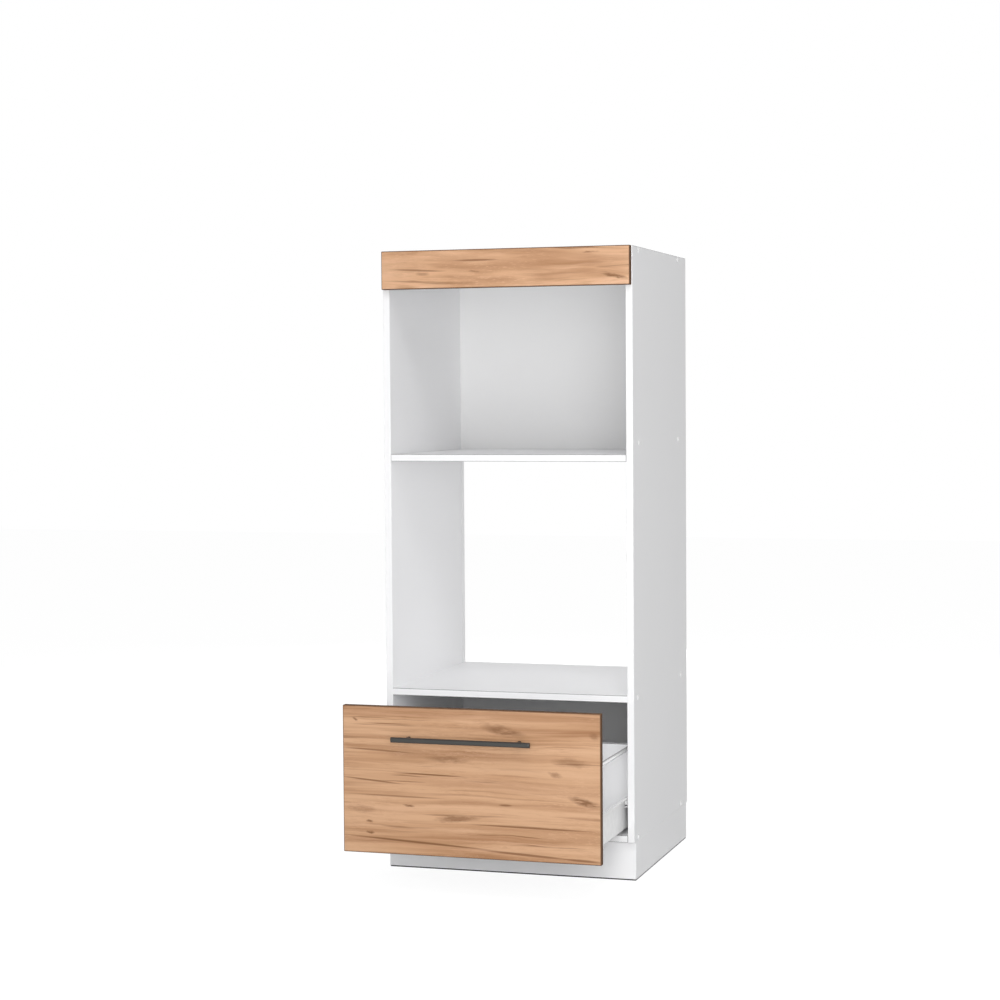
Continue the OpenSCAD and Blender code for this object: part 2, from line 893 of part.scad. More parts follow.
// Right steel side: top flange outwards over the runner, base flange inwards under the base
module drawer_side() {
    top_run = web_gap - flange_edge_gap + side_gauge / 2 - bend_r;
    web_run = drawer_side_h - side_gauge - 2 * bend_r;
    base_run = base_flange_w + side_gauge / 2 - bend_r;
    color(WHITE_STEEL) {
        difference() {
            translate([web_in_x - base_flange_w, drawer_rear_y, drawer_z])
                rotate([90, 0, 0]) linear_extrude(runner_len)
                    translate([0, side_gauge / 2])
                        folded([[base_run, 1], [web_run, -1], [top_run, 0]], side_gauge, bend_r);
            at_base_screws() small_screw(hole_gap, side_gauge);
            for (y = [drawer_y, drawer_back_rear_y])
                at_corner_brackets(y) at_corner_pitch() corner_rivet(hole_gap);
        }
        translate([web_out_x - side_gauge / 2, rear_roller_y, rear_roller_z])
            rotate([0, 90, 0]) roller_pin(web_gap - roller_in - collar_gap + side_gauge / 2);
    }
}

module drawer_side_right() {
    drawer_side();
}

module drawer_side_left() {
    mirror([1, 0, 0]) drawer_side();
}

module drawer_base() {
    half_w = web_in_x - base_side_gap;
    color(WHITE) difference() {
        board([-half_w, drawer_y, base_z], [half_w, drawer_back_rear_y, base_top_z]);
        on_both_sides() at_base_screws() small_screw(hole_gap);
        at_drawer_back_screws() drawer_back_screw(hole_gap);
    }
}

module drawer_back() {
    half_w = web_in_x - base_side_gap;
    color(WHITE) difference() {
        board([-half_w, drawer_back_front_y, base_top_z],
              [half_w, drawer_back_rear_y, drawer_back_top_z]);
        at_drawer_back_screws() drawer_back_screw(hole_gap);
        on_both_sides() {
            at_corner_brackets(drawer_back_rear_y) at_corner_pitch() corner_screw(hole_gap);
            at_rear_socket() socket_screw(hole_gap);
        }
    }
}

// Countersunk screw up through the base, flush with its underside
module drawer_back_screw(grow = 0) {
    cylinder(d = small_screw_d + 2 * grow, h = drawer_board_t + drawer_back_bite + grow);
    cylinder(d1 = small_head_d + 2 * grow, d2 = small_screw_d + 2 * grow, h = sunk_head_h);
}

module drawer_back_screws() {
    color(STEEL) at_drawer_back_screws() drawer_back_screw();
}

module drawer_base_screws() {
    color(STEEL) on_both_sides() at_base_screws() small_screw(0, side_gauge);
}

// Corner bracket against the face z = 0 and the web x = 0, its height along local Y
module corner_bracket() {
    difference() {
        angle_sheet(corner_leg, corner_h, corner_t, bend_r);
        at_corner_pitch() {
            corner_screw(hole_gap);
            corner_rivet(hole_gap);
        }
    }
}

module corner_screw(grow = 0) {
    translate([corner_screw_x, 0, 0]) rotate([180, 0, 0]) small_screw(grow, corner_t);
}

// Rivet through the bracket's leg and the steel side
module corner_rivet(grow = 0) {
    translate([corner_t, 0, corner_screw_x]) rotate([0, -90, 0]) {
        translate([0, 0, -rivet_head_t]) cylinder(d = rivet_head_d + 2 * grow, h = rivet_head_t);
        cylinder(d = rivet_d + 2 * grow, h = corner_t + side_gauge);
        translate([0, 0, corner_t + side_gauge])
            cylinder(d = rivet_head_d + 2 * grow, h = rivet_head_t);
    }
}

module drawer_front_brackets() {
    color(STEEL) on_both_sides() at_corner_brackets(drawer_y) corner_bracket();
}

module drawer_back_brackets() {
    color(STEEL) on_both_sides() at_corner_brackets(drawer_back_rear_y) corner_bracket();
}

module drawer_bracket_screws() {
    color(STEEL) on_both_sides()
        for (y = [drawer_y, drawer_back_rear_y])
            at_corner_brackets(y) at_corner_pitch() corner_screw();
}

module drawer_side_rivets() {
    color(STEEL) on_both_sides()
        for (y = [drawer_y, drawer_back_rear_y])
            at_corner_brackets(y) at_corner_pitch() corner_rivet();
}

// ---------- railing ----------

// Socket on the face z = 0: a plate with a screw hole below the rod and a sleeve round the rod
module railing_socket() {
    sleeve_d = rod_d + 2 * socket_wall;
    difference() {
        union() {
            linear_extrude(socket_base_t) {
                circle(d = sleeve_d);
                translate([-sleeve_d / 2, 0]) square([sleeve_d, socket_screw_drop]);
                translate([0, socket_screw_drop]) circle(d = sleeve_d);
            }
            cylinder(d = sleeve_d, h = socket_len);
        }
        translate([0, 0, socket_base_t])
            cylinder(d = rod_d + 2 * hole_gap, h = socket_len);
        socket_screw(hole_gap);
    }
}

module socket_screw(grow = 0) {
    translate([0, socket_screw_drop, 0]) rotate([180, 0, 0]) small_screw(grow, socket_base_t);
}

module railing_front_sockets() {
    color(PLASTIC) on_both_sides() at_front_socket() railing_socket();
}

module railing_rear_sockets() {
    color(PLASTIC) on_both_sides() at_rear_socket() railing_socket();
}

module railing_socket_screws() {
    color(STEEL) on_both_sides() {
        at_front_socket() socket_screw();
        at_rear_socket() socket_screw();
    }
}

module railing_rods() {
    color(WHITE_STEEL) on_both_sides()
        rearward(rod_x, drawer_y + socket_base_t, rod_z)
            cylinder(d = rod_d, h = drawer_back_front_y - drawer_y - 2 * socket_base_t);
}

// ---------- handle ----------

// Bar with bevelled front edges, bored from behind for its posts' spigots
module handle_bar() {
    near = handle_reach - handle_bar_d;
    half_h = handle_bar_h / 2;
    color(ANTHRACITE) difference() {
        translate([handle_shift - handle_len / 2, handle_y, handle_z])
            rotate([90, 0, 90]) linear_extrude(handle_len)
                polygon([
                    [-near, -half_h],
                    [-near, half_h],
                    [-handle_reach + handle_bevel, half_h],
                    [-handle_reach, half_h - handle_bevel],
                    [-handle_reach, -half_h + handle_bevel],
                    [-handle_reach + handle_bevel, -half_h]
                ]);
        at_handle_posts() translate([0, 0, near - eps])
            cylinder(d = spigot_d + 2 * hole_gap, h = spigot_len + eps + hole_gap);
    }
}

module handle_posts() {
    near = handle_reach - handle_bar_d;
    color(ANTHRACITE) at_handle_posts() difference() {
        union() {
            cylinder(d = post_d, h = near);
            cylinder(d = spigot_d, h = near + spigot_len);
        }
        translate([0, 0, -eps])
            cylinder(d = handle_screw_d + 2 * hole_gap, h = handle_screw_bite + 2 + eps);
    }
}

module handle_screws() {
    color(STEEL) at_handle_posts() translate([0, 0, -front_t])
        pan_screw(handle_screw_d, 8, 2.2, front_t + handle_screw_bite);
}

// ---------- assembly ----------

side_left();
side_right();
top_panel();
upper_shelf();
lower_shelf();
bottom_panel();
upper_back();
lower_back();
fascia();
plinth_front();
plinth_rear();
plinth_side_left();
plinth_side_right();
plinth_stiffener();
plinth_glides();
plinth_dowels();
plinth_brackets();
plinth_bracket_screws();
carcass_screws();
screw_caps();
spare_hole_plugs();
shelf_cams();
shelf_cam_bolts();
shelf_dowels();
fascia_brackets();
fascia_bracket_screws();
back_panel_screws();
runner_left();
runner_right();
runner_screws();
front_roller_left();
front_roller_right();
drawer_front();
handle_bar();
handle_posts();
handle_screws();
drawer_side_left();
drawer_side_right();
drawer_base();
drawer_back();
railing_rods();
railing_front_sockets();
railing_rear_sockets();
railing_socket_screws();
drawer_front_brackets();
drawer_back_brackets();
drawer_bracket_screws();
drawer_side_rivets();
drawer_base_screws();
drawer_back_screws();
rear_roller_left();
rear_roller_right();
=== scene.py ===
"""Looks of the tall kitchen cabinet: camera, light, bevelled boards and procedural finishes.

Lengths are in metres in the shared frame: +X right, +Y back, +Z up, origin on the floor.
"""
import json
import math

import bmesh
import bpy
from mathutils import Matrix, Vector


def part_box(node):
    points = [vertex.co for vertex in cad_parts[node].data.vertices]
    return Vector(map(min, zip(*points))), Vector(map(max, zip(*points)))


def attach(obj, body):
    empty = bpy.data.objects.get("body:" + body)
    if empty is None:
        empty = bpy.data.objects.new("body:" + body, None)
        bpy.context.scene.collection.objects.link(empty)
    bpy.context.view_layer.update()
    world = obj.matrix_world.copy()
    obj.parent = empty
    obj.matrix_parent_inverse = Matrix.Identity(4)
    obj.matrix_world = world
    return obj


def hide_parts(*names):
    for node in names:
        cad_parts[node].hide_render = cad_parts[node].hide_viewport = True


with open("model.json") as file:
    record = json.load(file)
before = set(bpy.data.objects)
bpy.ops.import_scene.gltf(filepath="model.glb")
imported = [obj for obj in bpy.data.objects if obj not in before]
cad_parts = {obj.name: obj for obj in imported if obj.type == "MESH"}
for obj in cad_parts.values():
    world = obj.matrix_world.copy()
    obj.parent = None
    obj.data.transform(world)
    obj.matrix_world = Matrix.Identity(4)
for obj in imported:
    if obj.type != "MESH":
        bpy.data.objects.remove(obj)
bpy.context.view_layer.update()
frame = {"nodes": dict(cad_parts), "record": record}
scene = bpy.context.scene

# ---------- camera ----------

# Fitted to the straight edges in the photo. The turns are in radians.
CAMERA_PLACE = (1.5348, -5.2139, 1.1099)
CAMERA_YAW = 0.3042
CAMERA_PITCH = -0.0459
CAMERA_ROLL = 0.0069
CAMERA_REACH = 100.0
# The sensor's width in millimetres, and the focal length in sensor widths
SENSOR = 36.0
FOCAL_SHARE = 2.24475


def make_camera():
    data = bpy.data.cameras.new("camera")
    data.sensor_width = SENSOR
    data.lens = SENSOR * FOCAL_SHARE
    data.clip_end = CAMERA_REACH
    camera = bpy.data.objects.new("camera", data)
    scene.collection.objects.link(camera)
    camera.matrix_world = (
        Matrix.Translation(CAMERA_PLACE)
        @ Matrix.Rotation(CAMERA_YAW, 4, "Z")
        @ Matrix.Rotation(CAMERA_PITCH, 4, "X")
        @ Matrix.Rotation(CAMERA_ROLL, 4, "Y")
        @ Matrix.Rotation(math.pi / 2, 4, "X")
    )
    scene.camera = camera


# ---------- colours and node helpers ----------


def srgb(r, g, b):
    """A colour as a screen shows it, 0 to 255, in the linear values that shaders take."""

    def linear(c):
        c /= 255
        return c / 12.92 if c <= 0.04045 else ((c + 0.055) / 1.055) ** 2.4

    return (linear(r), linear(g), linear(b), 1.0)


def toned(colour, shares):
    """The colour with each of its three channels times its share, up to 1."""
    return tuple(min(1.0, c * s) for c, s in zip(colour, shares)) + (1.0,)


class Graph:
    """A short way to write the shader nodes of a material or of the world."""

    def __init__(self, owner):
        owner.use_nodes = True
        self.tree = owner.node_tree
        self.tree.nodes.clear()

    def add(self, kind, **values):
        n = self.tree.nodes.new(kind)
        for name, value in values.items():
            setattr(n, name, value)
        return n

    def link(self, a, b):
        self.tree.links.new(a, b)

    def feed(self, socket, value):
        if isinstance(value, bpy.types.NodeSocket):
            self.link(value, socket)
        else:
            socket.default_value = value

    def math(self, operation, a, b, clamp=False):
        n = self.add("ShaderNodeMath", operation=operation, use_clamp=clamp)
        self.feed(n.inputs[0], a)
        self.feed(n.inputs[1], b)
        return n.outputs[0]

    def mix(self, factor, a, b):
        """Colour a where the factor is 0, and colour b where it is 1."""
        n = self.add("ShaderNodeMix", data_type="RGBA")
        self.feed(n.inputs[0], factor)
        self.feed(n.inputs[6], a)
        self.feed(n.inputs[7], b)
        return n.outputs[2]

    def place(self):
        return self.add("ShaderNodeTexCoord").outputs["Object"]

    def stretched(self, vector, scale, location=(0, 0, 0), turn=(0, 0, 0)):
        n = self.add("ShaderNodeMapping")
        self.link(vector, n.inputs["Vector"])
        n.inputs["Scale"].default_value = scale
        n.inputs["Location"].default_value = location
        n.inputs["Rotation"].default_value = turn
        return n.outputs[0]

    def noise(self, vector, waves, detail, rough=0.5):
        """Noise of 0 to 1, with so many waves per unit of the vector."""
        n = self.add("ShaderNodeTexNoise")
        self.link(vector, n.inputs["Vector"])
        n.inputs["Scale"].default_value = waves
        n.inputs["Detail"].default_value = detail
        n.inputs["Roughness"].default_value = rough
        return n.outputs["Fac"]

    def ramp(self, factor, *stops):
        n = self.add("ShaderNodeValToRGB")
        self.link(factor, n.inputs[0])
        while len(n.color_ramp.elements) < len(stops):
            n.color_ramp.elements.new(0.5)
        for e, (at, colour) in zip(n.color_ramp.elements, stops):
            e.position = at
            e.color = colour
        return n.outputs[0]

    def step(self, factor, start, end):
        """0 at start and before it, 1 at end and beyond it. A start above end turns it round."""
        n = self.add("ShaderNodeMapRange", clamp=True)
        self.link(factor, n.inputs[0])
        n.inputs[1].default_value = start
        n.inputs[2].default_value = end
        return n.outputs[0]

    def bump(self, height, strength, distance):
        n = self.add("ShaderNodeBump")
        self.link(height, n.inputs["Height"])
        n.inputs["Strength"].default_value = strength
        n.inputs["Distance"].default_value = distance
        return n.outputs[0]

    def surface(self, colour, roughness, metallic=0.0, normal=None, specular=0.5):
        n = self.add("ShaderNodeBsdfPrincipled")
        self.feed(n.inputs["Base Color"], colour)
        n.inputs["Roughness"].default_value = roughness
        n.inputs["Metallic"].default_value = metallic
        n.inputs["Specular IOR Level"].default_value = specular
        if normal is not None:
            self.link(normal, n.inputs["Normal"])
        out = self.add("ShaderNodeOutputMaterial")
        self.link(n.outputs[0], out.inputs[0])
        return n

    def drifting(self, noise, colour, share, start=0.3, end=0.7):
        """The colour, which sinks to a share of itself where the noise is low."""
        return self.mix(self.step(noise, start, end), toned(colour, (share,) * 3), colour)

    def seen(self):
        """1 for the rays that show a thing, straight, in gloss or through glass, and else 0."""
        rays = self.add("ShaderNodeLightPath").outputs
        both = self.math("MAXIMUM", rays["Is Camera Ray"], rays["Is Glossy Ray"])
        return self.math("MAXIMUM", both, rays["Is Transmission Ray"])


# ---------- plain finishes ----------


def white_melamine(name, colour, roughness=0.42):
    """Smooth white facing with a very fine pearl, and a faint tone drift over the board."""
    material = bpy.data.materials.new(name)
    g = Graph(material)
    place = g.place()
    drift = g.noise(place, waves=1.6, detail=1.0)
    pearl = g.noise(place, waves=900.0, detail=1.0)
    g.surface(
        g.drifting(drift, colour, share=0.985),
        roughness,
        normal=g.bump(pearl, strength=0.05, distance=0.0003),
        specular=0.25,
    )
    return material


def glossy(name, colour):
    """Polished moulded plastic: a clear gloss over a colour with a faint drift."""
    material = bpy.data.materials.new(name)
    g = Graph(material)
    drift = g.noise(g.place(), waves=40.0, detail=2.0)
    shader = g.surface(g.drifting(drift, colour, share=0.96), roughness=0.12, specular=0.8)
    shader.inputs["Coat Weight"].default_value = 1.0
    shader.inputs["Coat Roughness"].default_value = 0.05
    return material


def plain(name, colour, roughness, grain=0.0, specular=0.5):
    """One tone with a fine unevenness of colour, and of the surface where grain is above 0."""
    material = bpy.data.materials.new(name)
    g = Graph(material)
    place = g.place()
    drift = g.noise(place, waves=60.0, detail=3.0)
    normal = None
    if grain > 0:
        fine = g.noise(place, waves=1500.0, detail=2.0)
        normal = g.bump(fine, strength=grain, distance=0.0002)
    g.surface(g.drifting(drift, colour, share=0.93), roughness, normal=normal, specular=specular)
    return material


# How many times closer the brush lines lie across X than along it
BRUSHING = (1, 30, 30)


def brushed(name, colour):
    """Zinc-plated steel with a fine brushing along X."""
    material = bpy.data.materials.new(name)
    g = Graph(material)
    lines = g.noise(g.stretched(g.place(), BRUSHING), waves=40.0, detail=3.0)
    tone = g.drifting(lines, colour, share=0.8, start=0.35, end=0.65)
    g.surface(tone, roughness=0.38, metallic=1.0)
    return material


# ---------- oak ----------

# Marks in the wood: middle x and z, half length, half height, tilt and strength
FRONT_MARKS = [
    (0.078, 0.383, 0.058, 0.013, 0.16, 0.75),
    (-0.050, 0.313, 0.060, 0.010, 0.03, 0.50),
    (-0.090, 0.277, 0.095, 0.0022, 0.02, 0.95),
    (0.262, 0.235, 0.042, 0.011, 0.25, 0.90),
    (0.230, 0.315, 0.050, 0.012, 0.05, 0.45),
    (0.195, 0.288, 0.020, 0.006, 0.25, 0.55),
    (0.282, 0.375, 0.014, 0.010, 0.60, 0.50),
    (-0.255, 0.195, 0.040, 0.012, 0.05, 0.40),
    (-0.143, 0.208, 0.016, 0.004, 0.15, 0.85),
    (0.082, 0.217, 0.018, 0.003, 0.00, 0.75),
    (-0.030, 0.181, 0.060, 0.009, -0.05, 0.70),
    (-0.234, 0.142, 0.012, 0.004, 0.00, 0.95),
    (-0.236, 0.167, 0.010, 0.004, 0.20, 0.80),
    (-0.215, 0.327, 0.100, 0.0024, 0.04, 0.70),
    (-0.230, 0.259, 0.085, 0.0024, 0.08, 0.75),
    (-0.175, 0.226, 0.130, 0.0024, 0.01, 0.60),
    (-0.120, 0.125, 0.200, 0.0030, 0.05, 0.90),
    (0.130, 0.110, 0.120, 0.0034, 0.05, 0.80),
    (0.140, 0.170, 0.165, 0.0026, 0.01, 0.85),
    (0.255, 0.104, 0.050, 0.0034, 0.04, 0.75),
    (-0.190, 0.387, 0.060, 0.0018, 0.00, 0.60),
    (-0.268, 0.397, 0.008, 0.0036, 0.30, 0.75),
]
FASCIA_MARKS = [
    (-0.067, 1.4245, 0.060, 0.0030, 0.00, 0.80),
    (-0.209, 1.4040, 0.075, 0.0030, 0.05, 0.70),
    (0.262, 1.3830, 0.036, 0.0060, 0.22, 0.95),
    (0.208, 1.4400, 0.022, 0.0035, 0.00, 0.70),
    (-0.070, 1.4030, 0.016, 0.0035, 0.00, 0.65),
    (-0.196, 1.3980, 0.020, 0.0060, 0.10, 0.50),
    (-0.255, 1.4100, 0.075, 0.0300, 0.00, 0.16),
    (0.240, 1.4150, 0.070, 0.0300, 0.05, 0.12),
]

# A mark lower than this is a line and keeps its shape; a higher one is a ragged knot
THIN_MARK = 0.0035
# The soft part of a mark, as a share of its half size
LINE_RIM = 0.5
KNOT_RIM = 0.6

# The wood's palest and deepest fibres and its knots, as shares of its light and dark tones
PALE_SHARES = (1.11, 1.14, 1.22)
DEEP_SHARES = (0.84, 0.79, 0.70)
KNOT_SHARES = (0.56, 0.50, 0.42)

# The wood's noises: waves per metre along and across the grain, whether the board's own short
# and coarse scale them, what is added to the board's seed, detail and roughness
FIBRES = {
    "slow bend": (2.4, 9.0, False, 0, 2.0, 0.55),
    "fine bend": (16.0, 60.0, False, 5, 2.0, 0.55),
    "knot bend": (60.0, 90.0, False, 9, 2.0, 0.55),
    "broad": (1.0, 16.0, True, 0, 2.0, 0.55),
    "bands": (1.5, 42.0, True, 1, 2.0, 0.50),
    "streaks": (3.4, 150.0, True, 2, 2.0, 0.50),
    "lines": (2.4, 84.0, True, 10, 1.0, 0.50),
    "fine": (26.0, 420.0, False, 3, 3.0, 0.70),
    "speckle": (70.0, 500.0, False, 4, 2.0, 0.70),
    "cracks": (3.0, 130.0, False, 7, 2.0, 0.50),
    "ragged": (30.0, 190.0, False, 8, 4.0, 0.65),
    "patch": (5.0, 12.0, False, 6, 2.0, 0.55),
    "calm": (3.2, 13.0, False, 11, 2.0, 0.55),
}
# How far the bends move the fibres up and down, from end to end
SLOW_BEND = 0.022
FINE_BEND = 0.004
KNOT_BEND = 0.010

# Where the dark, middle and light tones lie on a noise, and the share of the bands in the base
BROAD_STOPS = (0.37, 0.47, 0.57)
BAND_STOPS = (0.37, 0.48, 0.59)
BAND_SHARE = 0.55

# Strength of the fibres where the wood is calm, and what is added where it is lively
CALM_STRENGTH = 0.35
LIVELY_MORE = 0.8

# Layers over the base tone, in their order: noise, its step, area, strength and tone
LAYER_NOISES = ("streaks", "lines", "fine", "speckle", "cracks")
WOOD_LAYERS = [
    ("streaks", (0.55, 0.70), "lively", 0.42, "deep"),
    ("streaks", (0.45, 0.30), "lively", 0.40, "pale"),
    ("lines", (0.60, 0.70), "lively", 0.60, "deep"),
    ("lines", (0.42, 0.28), "lively", 0.45, "pale"),
    ("fine", (0.52, 0.70), "lively", 0.34, "deep"),
    ("speckle", (0.54, 0.70), "in patches", 0.45, "pale"),
    ("cracks", (0.64, 0.72), "between patches", 0.70, "knot"),
]


def spot(g, place, centre, half, tilt, rim):
    """1 inside an ellipse round centre = (x, z), 0 outside, with a soft rim."""
    x, z = centre
    about = g.stretched(place, (1, 0, 1), (-x, 0, -z))
    turned = g.stretched(about, (1, 1, 1), turn=(0, -tilt, 0))
    sized = g.stretched(turned, (1 / half[0], 1, 1 / half[1]))
    n = g.add("ShaderNodeVectorMath", operation="LENGTH")
    g.link(sized, n.inputs[0])
    depth = g.math("SUBTRACT", 1.0, n.outputs["Value"], clamp=True)
    return g.step(depth, 0.0, rim)


def bent_along_z(g, place, wave, reach):
    """The place, moved up or down by a wave of 0 to 1, reach metres from end to end."""
    lift = g.math("MULTIPLY", g.math("SUBTRACT", wave, 0.5), reach)
    shift = g.add("ShaderNodeCombineXYZ")
    g.link(lift, shift.inputs[2])
    bent = g.add("ShaderNodeVectorMath", operation="ADD")
    g.link(place, bent.inputs[0])
    g.link(shift.outputs[0], bent.inputs[1])
    return bent.outputs[0]


def marked(g, base, marks, line_place, knot_place, ragged, tone):
    """The base colour with the marks laid over it."""
    for x, z, long_half, high_half, tilt, strength in marks:
        half = (long_half, high_half)
        if high_half < THIN_MARK:
            reach = spot(g, line_place, (x, z), half, tilt, LINE_RIM)
        else:
            reach = spot(g, knot_place, (x, z), half, tilt, KNOT_RIM)
            reach = g.math("MULTIPLY", reach, g.step(ragged, 0.30, 0.52))
        base = g.mix(g.math("MULTIPLY", reach, strength), base, tone)
    return base


def oak(name, light, middle, dark, marks, seed, short, coarse):
    """Oak decor with its grain along X: bands, long streaks, fibres, cracks and placed marks.

    A greater short makes the bands and streaks shorter, a greater coarse makes them thicker.
    """
    material = bpy.data.materials.new(name)
    g = Graph(material)

    def fibres(kind, where):
        along, across, scaled, step, detail, rough = FIBRES[kind]
        if scaled:
            along, across = along * short, across / coarse
        shift = (seed + step, 0, seed + step)
        return g.noise(g.stretched(where, (along, 1, across), shift), 1.0, detail, rough)

    place = g.place()
    slow = bent_along_z(g, place, fibres("slow bend", place), SLOW_BEND)
    grain = bent_along_z(g, slow, fibres("fine bend", place), FINE_BEND)
    wild = bent_along_z(g, slow, fibres("knot bend", place), KNOT_BEND)

    lively = g.math("MULTIPLY", g.step(fibres("calm", place), 0.38, 0.60), LIVELY_MORE)
    patch = fibres("patch", place)
    areas = {
        "lively": g.math("ADD", lively, CALM_STRENGTH),
        "in patches": g.step(patch, 0.45, 0.62),
        "between patches": g.step(patch, 0.62, 0.46),
    }
    tones = {
        "pale": toned(light, PALE_SHARES),
        "deep": toned(dark, DEEP_SHARES),
        "knot": toned(dark, KNOT_SHARES),
    }
    main_tones = (dark, middle, light)
    broad = g.ramp(fibres("broad", grain), *zip(BROAD_STOPS, main_tones))
    bands = g.ramp(fibres("bands", grain), *zip(BAND_STOPS, main_tones))
    base = g.mix(BAND_SHARE, broad, bands)
    noises = {kind: fibres(kind, grain) for kind in LAYER_NOISES}
    for kind, (start, end), area, strength, tone in WOOD_LAYERS:
        reach = g.math("MULTIPLY", g.step(noises[kind], start, end), areas[area])
        base = g.mix(g.math("MULTIPLY", reach, strength), base, tones[tone])
    base = marked(g, base, marks, place, wild, fibres("ragged", grain), tones["knot"])
    pores = g.bump(noises["fine"], strength=0.12, distance=0.0004)
    g.surface(base, roughness=0.5, normal=pores, specular=0.3)
    return material


# ---------- finishes of the cabinet ----------


def make_finishes():
    return {
        "white": white_melamine("white_board", srgb(250, 250, 251)),
        # Painted dark outline and shade on the rounded edges of the white boards, far darker than
        # the real joint of their edging
        "painted_edge_shade": plain("white_board_painted_edge_shade", srgb(105, 105, 105), 0.9, specular=0.0),
        "backing": white_melamine("backing", srgb(242, 242, 242), 0.55),
        "oak_front": oak(
            "oak_front",
            light=srgb(207, 165, 130),
            middle=srgb(193, 150, 114),
            dark=srgb(161, 116, 81),
            marks=FRONT_MARKS,
            seed=3.7,
            short=1.0,
            coarse=1.0,
        ),
        # The fascia's oak is the front's in lighter tones: painted light, standing in for the
        # brighter light on the fascia
        "oak_fascia": oak(
            "oak_fascia",
            light=srgb(225, 180, 144),
            middle=srgb(215, 169, 132),
            dark=srgb(177, 131, 95),
            marks=FASCIA_MARKS,
            seed=5.1,
            short=2.2,
            coarse=1.4,
        ),
        # Painted shade: the decor boards' narrow faces in a dark brown, and a painted dark outline
        # round their fronts
        "oak_painted_edge_shade": plain("oak_painted_edge_shade", srgb(98, 72, 54), 0.8, specular=0.1),
        "oak_painted_rim_shade": plain("oak_painted_rim_shade", srgb(120, 91, 70), 0.8, specular=0.1),
        "anthracite": plain("anthracite", srgb(44, 41, 39), 0.38, grain=0.1, specular=0.4),
        # Painted highlight: a lighter copy of the anthracite for the handle's front face
        "anthracite_painted_highlight": plain("anthracite_painted_highlight", srgb(53, 53, 50), 0.42, grain=0.1),
        "coated": plain("coated_steel", srgb(252, 252, 252), 0.25, grain=0.05, specular=0.7),
        "zinc": brushed("zinc_steel", srgb(196, 198, 202)),
        "plastic": plain("white_plastic", srgb(248, 248, 248), 0.35, grain=0.05),
        "cap": glossy("screw_cap", srgb(253, 253, 253)),
        "rail": glossy("railing", srgb(254, 254, 254)),
        "beech": plain("beech", srgb(205, 170, 125), 0.6),
        "glide": plain("glide_plastic", srgb(60, 60, 62), 0.5),
    }


# The finish of each material slot in the record
SLOT_FINISH = {
    "white_board": "white",
    "decor_board": "oak_front",
    "backing": "backing",
    "zinc_steel": "zinc",
    "coated_steel": "coated",
    "anthracite": "anthracite",
    "white_plastic": "plastic",
    "beech": "beech",
    "glide_plastic": "glide",
}

# Nodes with a finish of their own
NODE_FINISH = {"screw_caps": "cap", "spare_hole_plugs": "cap", "railing_rods": "rail"}


def dress_cad(finishes):
    """Gives each CAD node its own finish or that of its material slot."""
    slots = {s["node"]: s["material_slot"] for s in frame["record"]["subparts"]}
    for name, node in frame["nodes"].items():
        finish = NODE_FINISH.get(name, SLOT_FINISH[slots[name]])
        node.data.materials.clear()
        node.data.materials.append(finishes[finish])


# ---------- mesh pieces ----------

# Places in a board's list of materials
FACING, ROUNDING, NARROW_FACE, REAR_FACE = range(4)

LEFT, RIGHT = (-1, 0, 0), (1, 0, 0)
FRONT, BACK = (0, -1, 0), (0, 1, 0)
DOWN, UP = (0, 0, -1), (0, 0, 1)

# A face looks along a direction if the cosine between the two is above this
LOOKS_ALONG = 0.99
# Two coordinates nearer to each other than this are the same
NEAR = 1e-5


def near(a, b):
    return abs(a - b) < NEAR


def new_piece(name, mesh, node, body):
    """An object that moves with a body and stands for a CAD node."""
    obj = bpy.data.objects.new(name, mesh)
    scene.collection.objects.link(obj)
    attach(obj, body)
    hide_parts(node)
    return obj


def finish_mesh(name, work, materials):
    mesh = bpy.data.meshes.new(name)
    bmesh.ops.recalc_face_normals(work, faces=work.faces)
    work.to_mesh(mesh)
    work.free()
    for m in materials:
        mesh.materials.append(m)
    return mesh


def extruded(outline, axis, start, end):
    """A prism of a closed 2-D outline. axis is the one it runs along, 0, 1 or 2."""
    work = bmesh.new()
    rings = []
    for place in (start, end):
        ring = []
        for a, b in outline:
            point = [a, b]
            point.insert(axis, place)
            ring.append(work.verts.new(point))
        rings.append(ring)
    work.faces.new(rings[0])
    work.faces.new(rings[1])
    count = len(outline)
    for i in range(count):
        j = (i + 1) % count
        work.faces.new((rings[0][i], rings[0][j], rings[1][j], rings[1][i]))
    bmesh.ops.recalc_face_normals(work, faces=work.faces)
    return work


def round_edges(work, radius, segments, keep=lambda edge: True):
    """Rounds the kept edges and marks the new narrow faces as rounding."""
    chosen = [e for e in work.edges if keep(e)]
    made = bmesh.ops.bevel(
        work, geom=chosen, offset=radius, segments=segments, profile=0.5, affect="EDGES"
    )
    for f in made["faces"]:
        f.material_index = ROUNDING
        f.smooth = True


def faces_along(work, direction, limit=LOOKS_ALONG):
    """The faces that look along direction and still have the facing's material."""
    work.normal_update()
    way = Vector(direction)
    return [f for f in work.faces if f.material_index == FACING and f.normal.dot(way) > limit]


# ---------- boards ----------

BOARD_ROUND = 0.0008
DECOR_ROUND = 0.0014
ROUND_SEGMENTS = 2
# Width of the rim of painted dark outline shade round the front of a decor board
PAINTED_RIM_WIDTH = 0.0008

# The grooves for the back panels, as the CAD has them: their depth and their two walls
GROOVE_DEPTH = 0.0082
GROOVE_LOW_Y = 0.2478
GROOVE_HIGH_Y = 0.2512


def shade_decor_edges(work):
    """Splits a rim off the front face for a painted dark outline, and marks the narrow faces,
    which get painted shade, and the rear.
    """
    front = faces_along(work, FRONT)
    rim = bmesh.ops.inset_individual(work, faces=front, thickness=PAINTED_RIM_WIDTH)
    for f in rim["faces"]:
        f.material_index = ROUNDING
    for way in (RIGHT, LEFT, UP, DOWN):
        for f in faces_along(work, way):
            f.material_index = NARROW_FACE
    for f in faces_along(work, BACK):
        f.material_index = REAR_FACE


